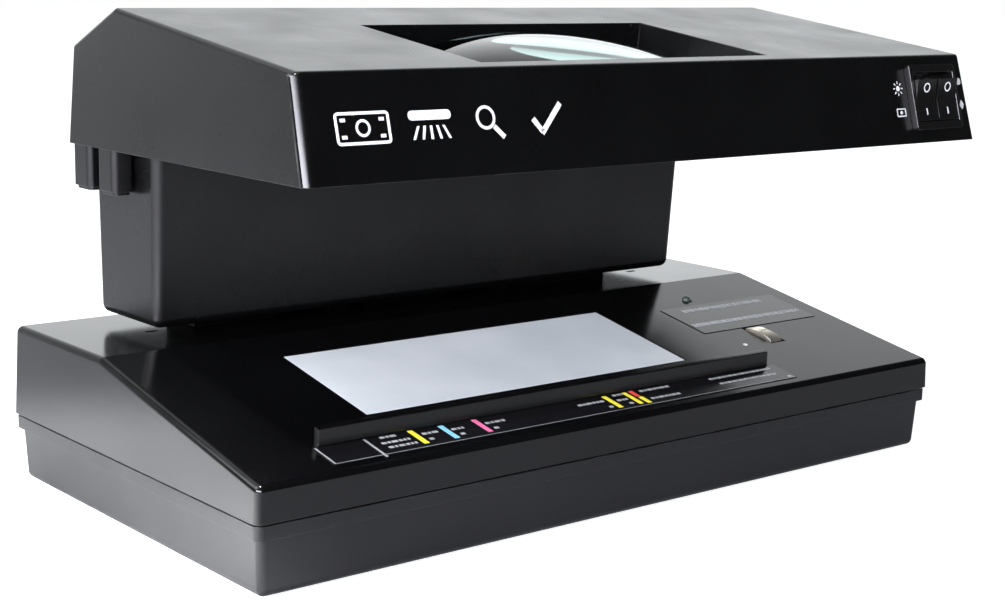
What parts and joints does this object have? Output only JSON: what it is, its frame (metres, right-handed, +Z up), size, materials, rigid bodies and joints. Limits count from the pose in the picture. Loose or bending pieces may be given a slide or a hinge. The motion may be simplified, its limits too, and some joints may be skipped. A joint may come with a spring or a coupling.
{
  "type": "counterfeit bill detector",
  "caption": "Counter-top bill detector: sloped base with back-lit window and magnetic head, rear column, overhanging ultraviolet lamp head with magnifier and two rocker switches.",
  "frame": {"origin": "bottom centre of the whole object's box, on the surface that the rubber feet stand on; the base's own centre is 10.2 mm towards -X of it, because the head overhangs the base to the right", "axes": "+X to the operator's right along the head, +Y to the rear, +Z up; the operator faces +Y"},
  "size_m": [0.2863, 0.1419, 0.1457],
  "materials": {
    "black_abs": "semi-gloss fine-textured moulded ABS",
    "switch_plastic": "polished nylon",
    "rubber": "soft rubber",
    "cable_sleeve": "sleeved wires",
    "screw_steel": "zinc-plated steel",
    "core_steel": "laminated core with wound bobbin",
    "frosted_acrylic": "frosted translucent acrylic",
    "lens_acrylic": "clear polished acrylic",
    "white_lamp": "white phosphor-coated glass tube",
    "uv_lamp": "dark violet glass tube",
    "socket_plastic": "moulded lamp holder",
    "reflector_sheet": "polished reflector sheet",
    "board": "solder-masked board",
    "component_black": "moulded case",
    "sensor_shell": "polished metal head",
    "led_lens": "dark tinted LED lens",
    "label_film": "printed dark film",
    "terminal_brass": "plated spade blades"
  },
  "bodies": {
    "detector": {"base_tray": "black_abs", "base_cover": "black_abs", "column_shell": "black_abs", "column_rear_cover": "black_abs", "head_cover": "black_abs", "head_base": "black_abs", "cord_pegs": "black_abs", "lens_cradle": "black_abs", "magnet_holder": "black_abs", "switch_housing": "switch_plastic", "rubber_feet": "rubber", "cord_bushing": "rubber", "wire_harness": "cable_sleeve", "base_screws": "screw_steel", "rear_cover_screws": "screw_steel", "column_foot_screws": "screw_steel", "head_screws": "screw_steel", "head_column_screws": "screw_steel", "lens_screws": "screw_steel", "magnet_spring": "screw_steel", "transformer": "core_steel", "bill_window": "frosted_acrylic", "magnifier_lens": "lens_acrylic", "window_tube": "white_lamp", "uv_tube": "uv_lamp", "window_tube_sockets": "socket_plastic", "uv_tube_sockets": "socket_plastic", "window_reflector": "reflector_sheet", "uv_reflector": "reflector_sheet", "circuit_board": "board", "ballast_board": "board", "buzzer": "component_black", "indicator_led": "led_lens", "gauge_label": "label_film", "info_label": "label_film", "switch_terminals": "terminal_brass"},
    "uv_rocker": {"uv_rocker": "switch_plastic"},
    "watermark_rocker": {"watermark_rocker": "switch_plastic"},
    "magnetic_head": {"magnetic_head": "sensor_shell"}
  },
  "joints": [
    {"name": "uv_rocker_tilt", "type": "hinge", "parent": "detector", "child": "uv_rocker", "pos_m": [0.11765, -0.06096, 0.11823], "axis": [1, 0, 0], "range_deg": [-20, 0]},
    {"name": "watermark_rocker_tilt", "type": "hinge", "parent": "detector", "child": "watermark_rocker", "pos_m": [0.12855, -0.06096, 0.11823], "axis": [1, 0, 0], "range_deg": [-20, 0]},
    {"name": "magnetic_head_press", "type": "slide", "parent": "detector", "child": "magnetic_head", "axis": [0, 0, 1], "range_m": [-0.0015, 0], "stiffness_N_per_m": 400, "springref_m": 0.001, "deforming": ["magnet_spring"]}
  ]
}
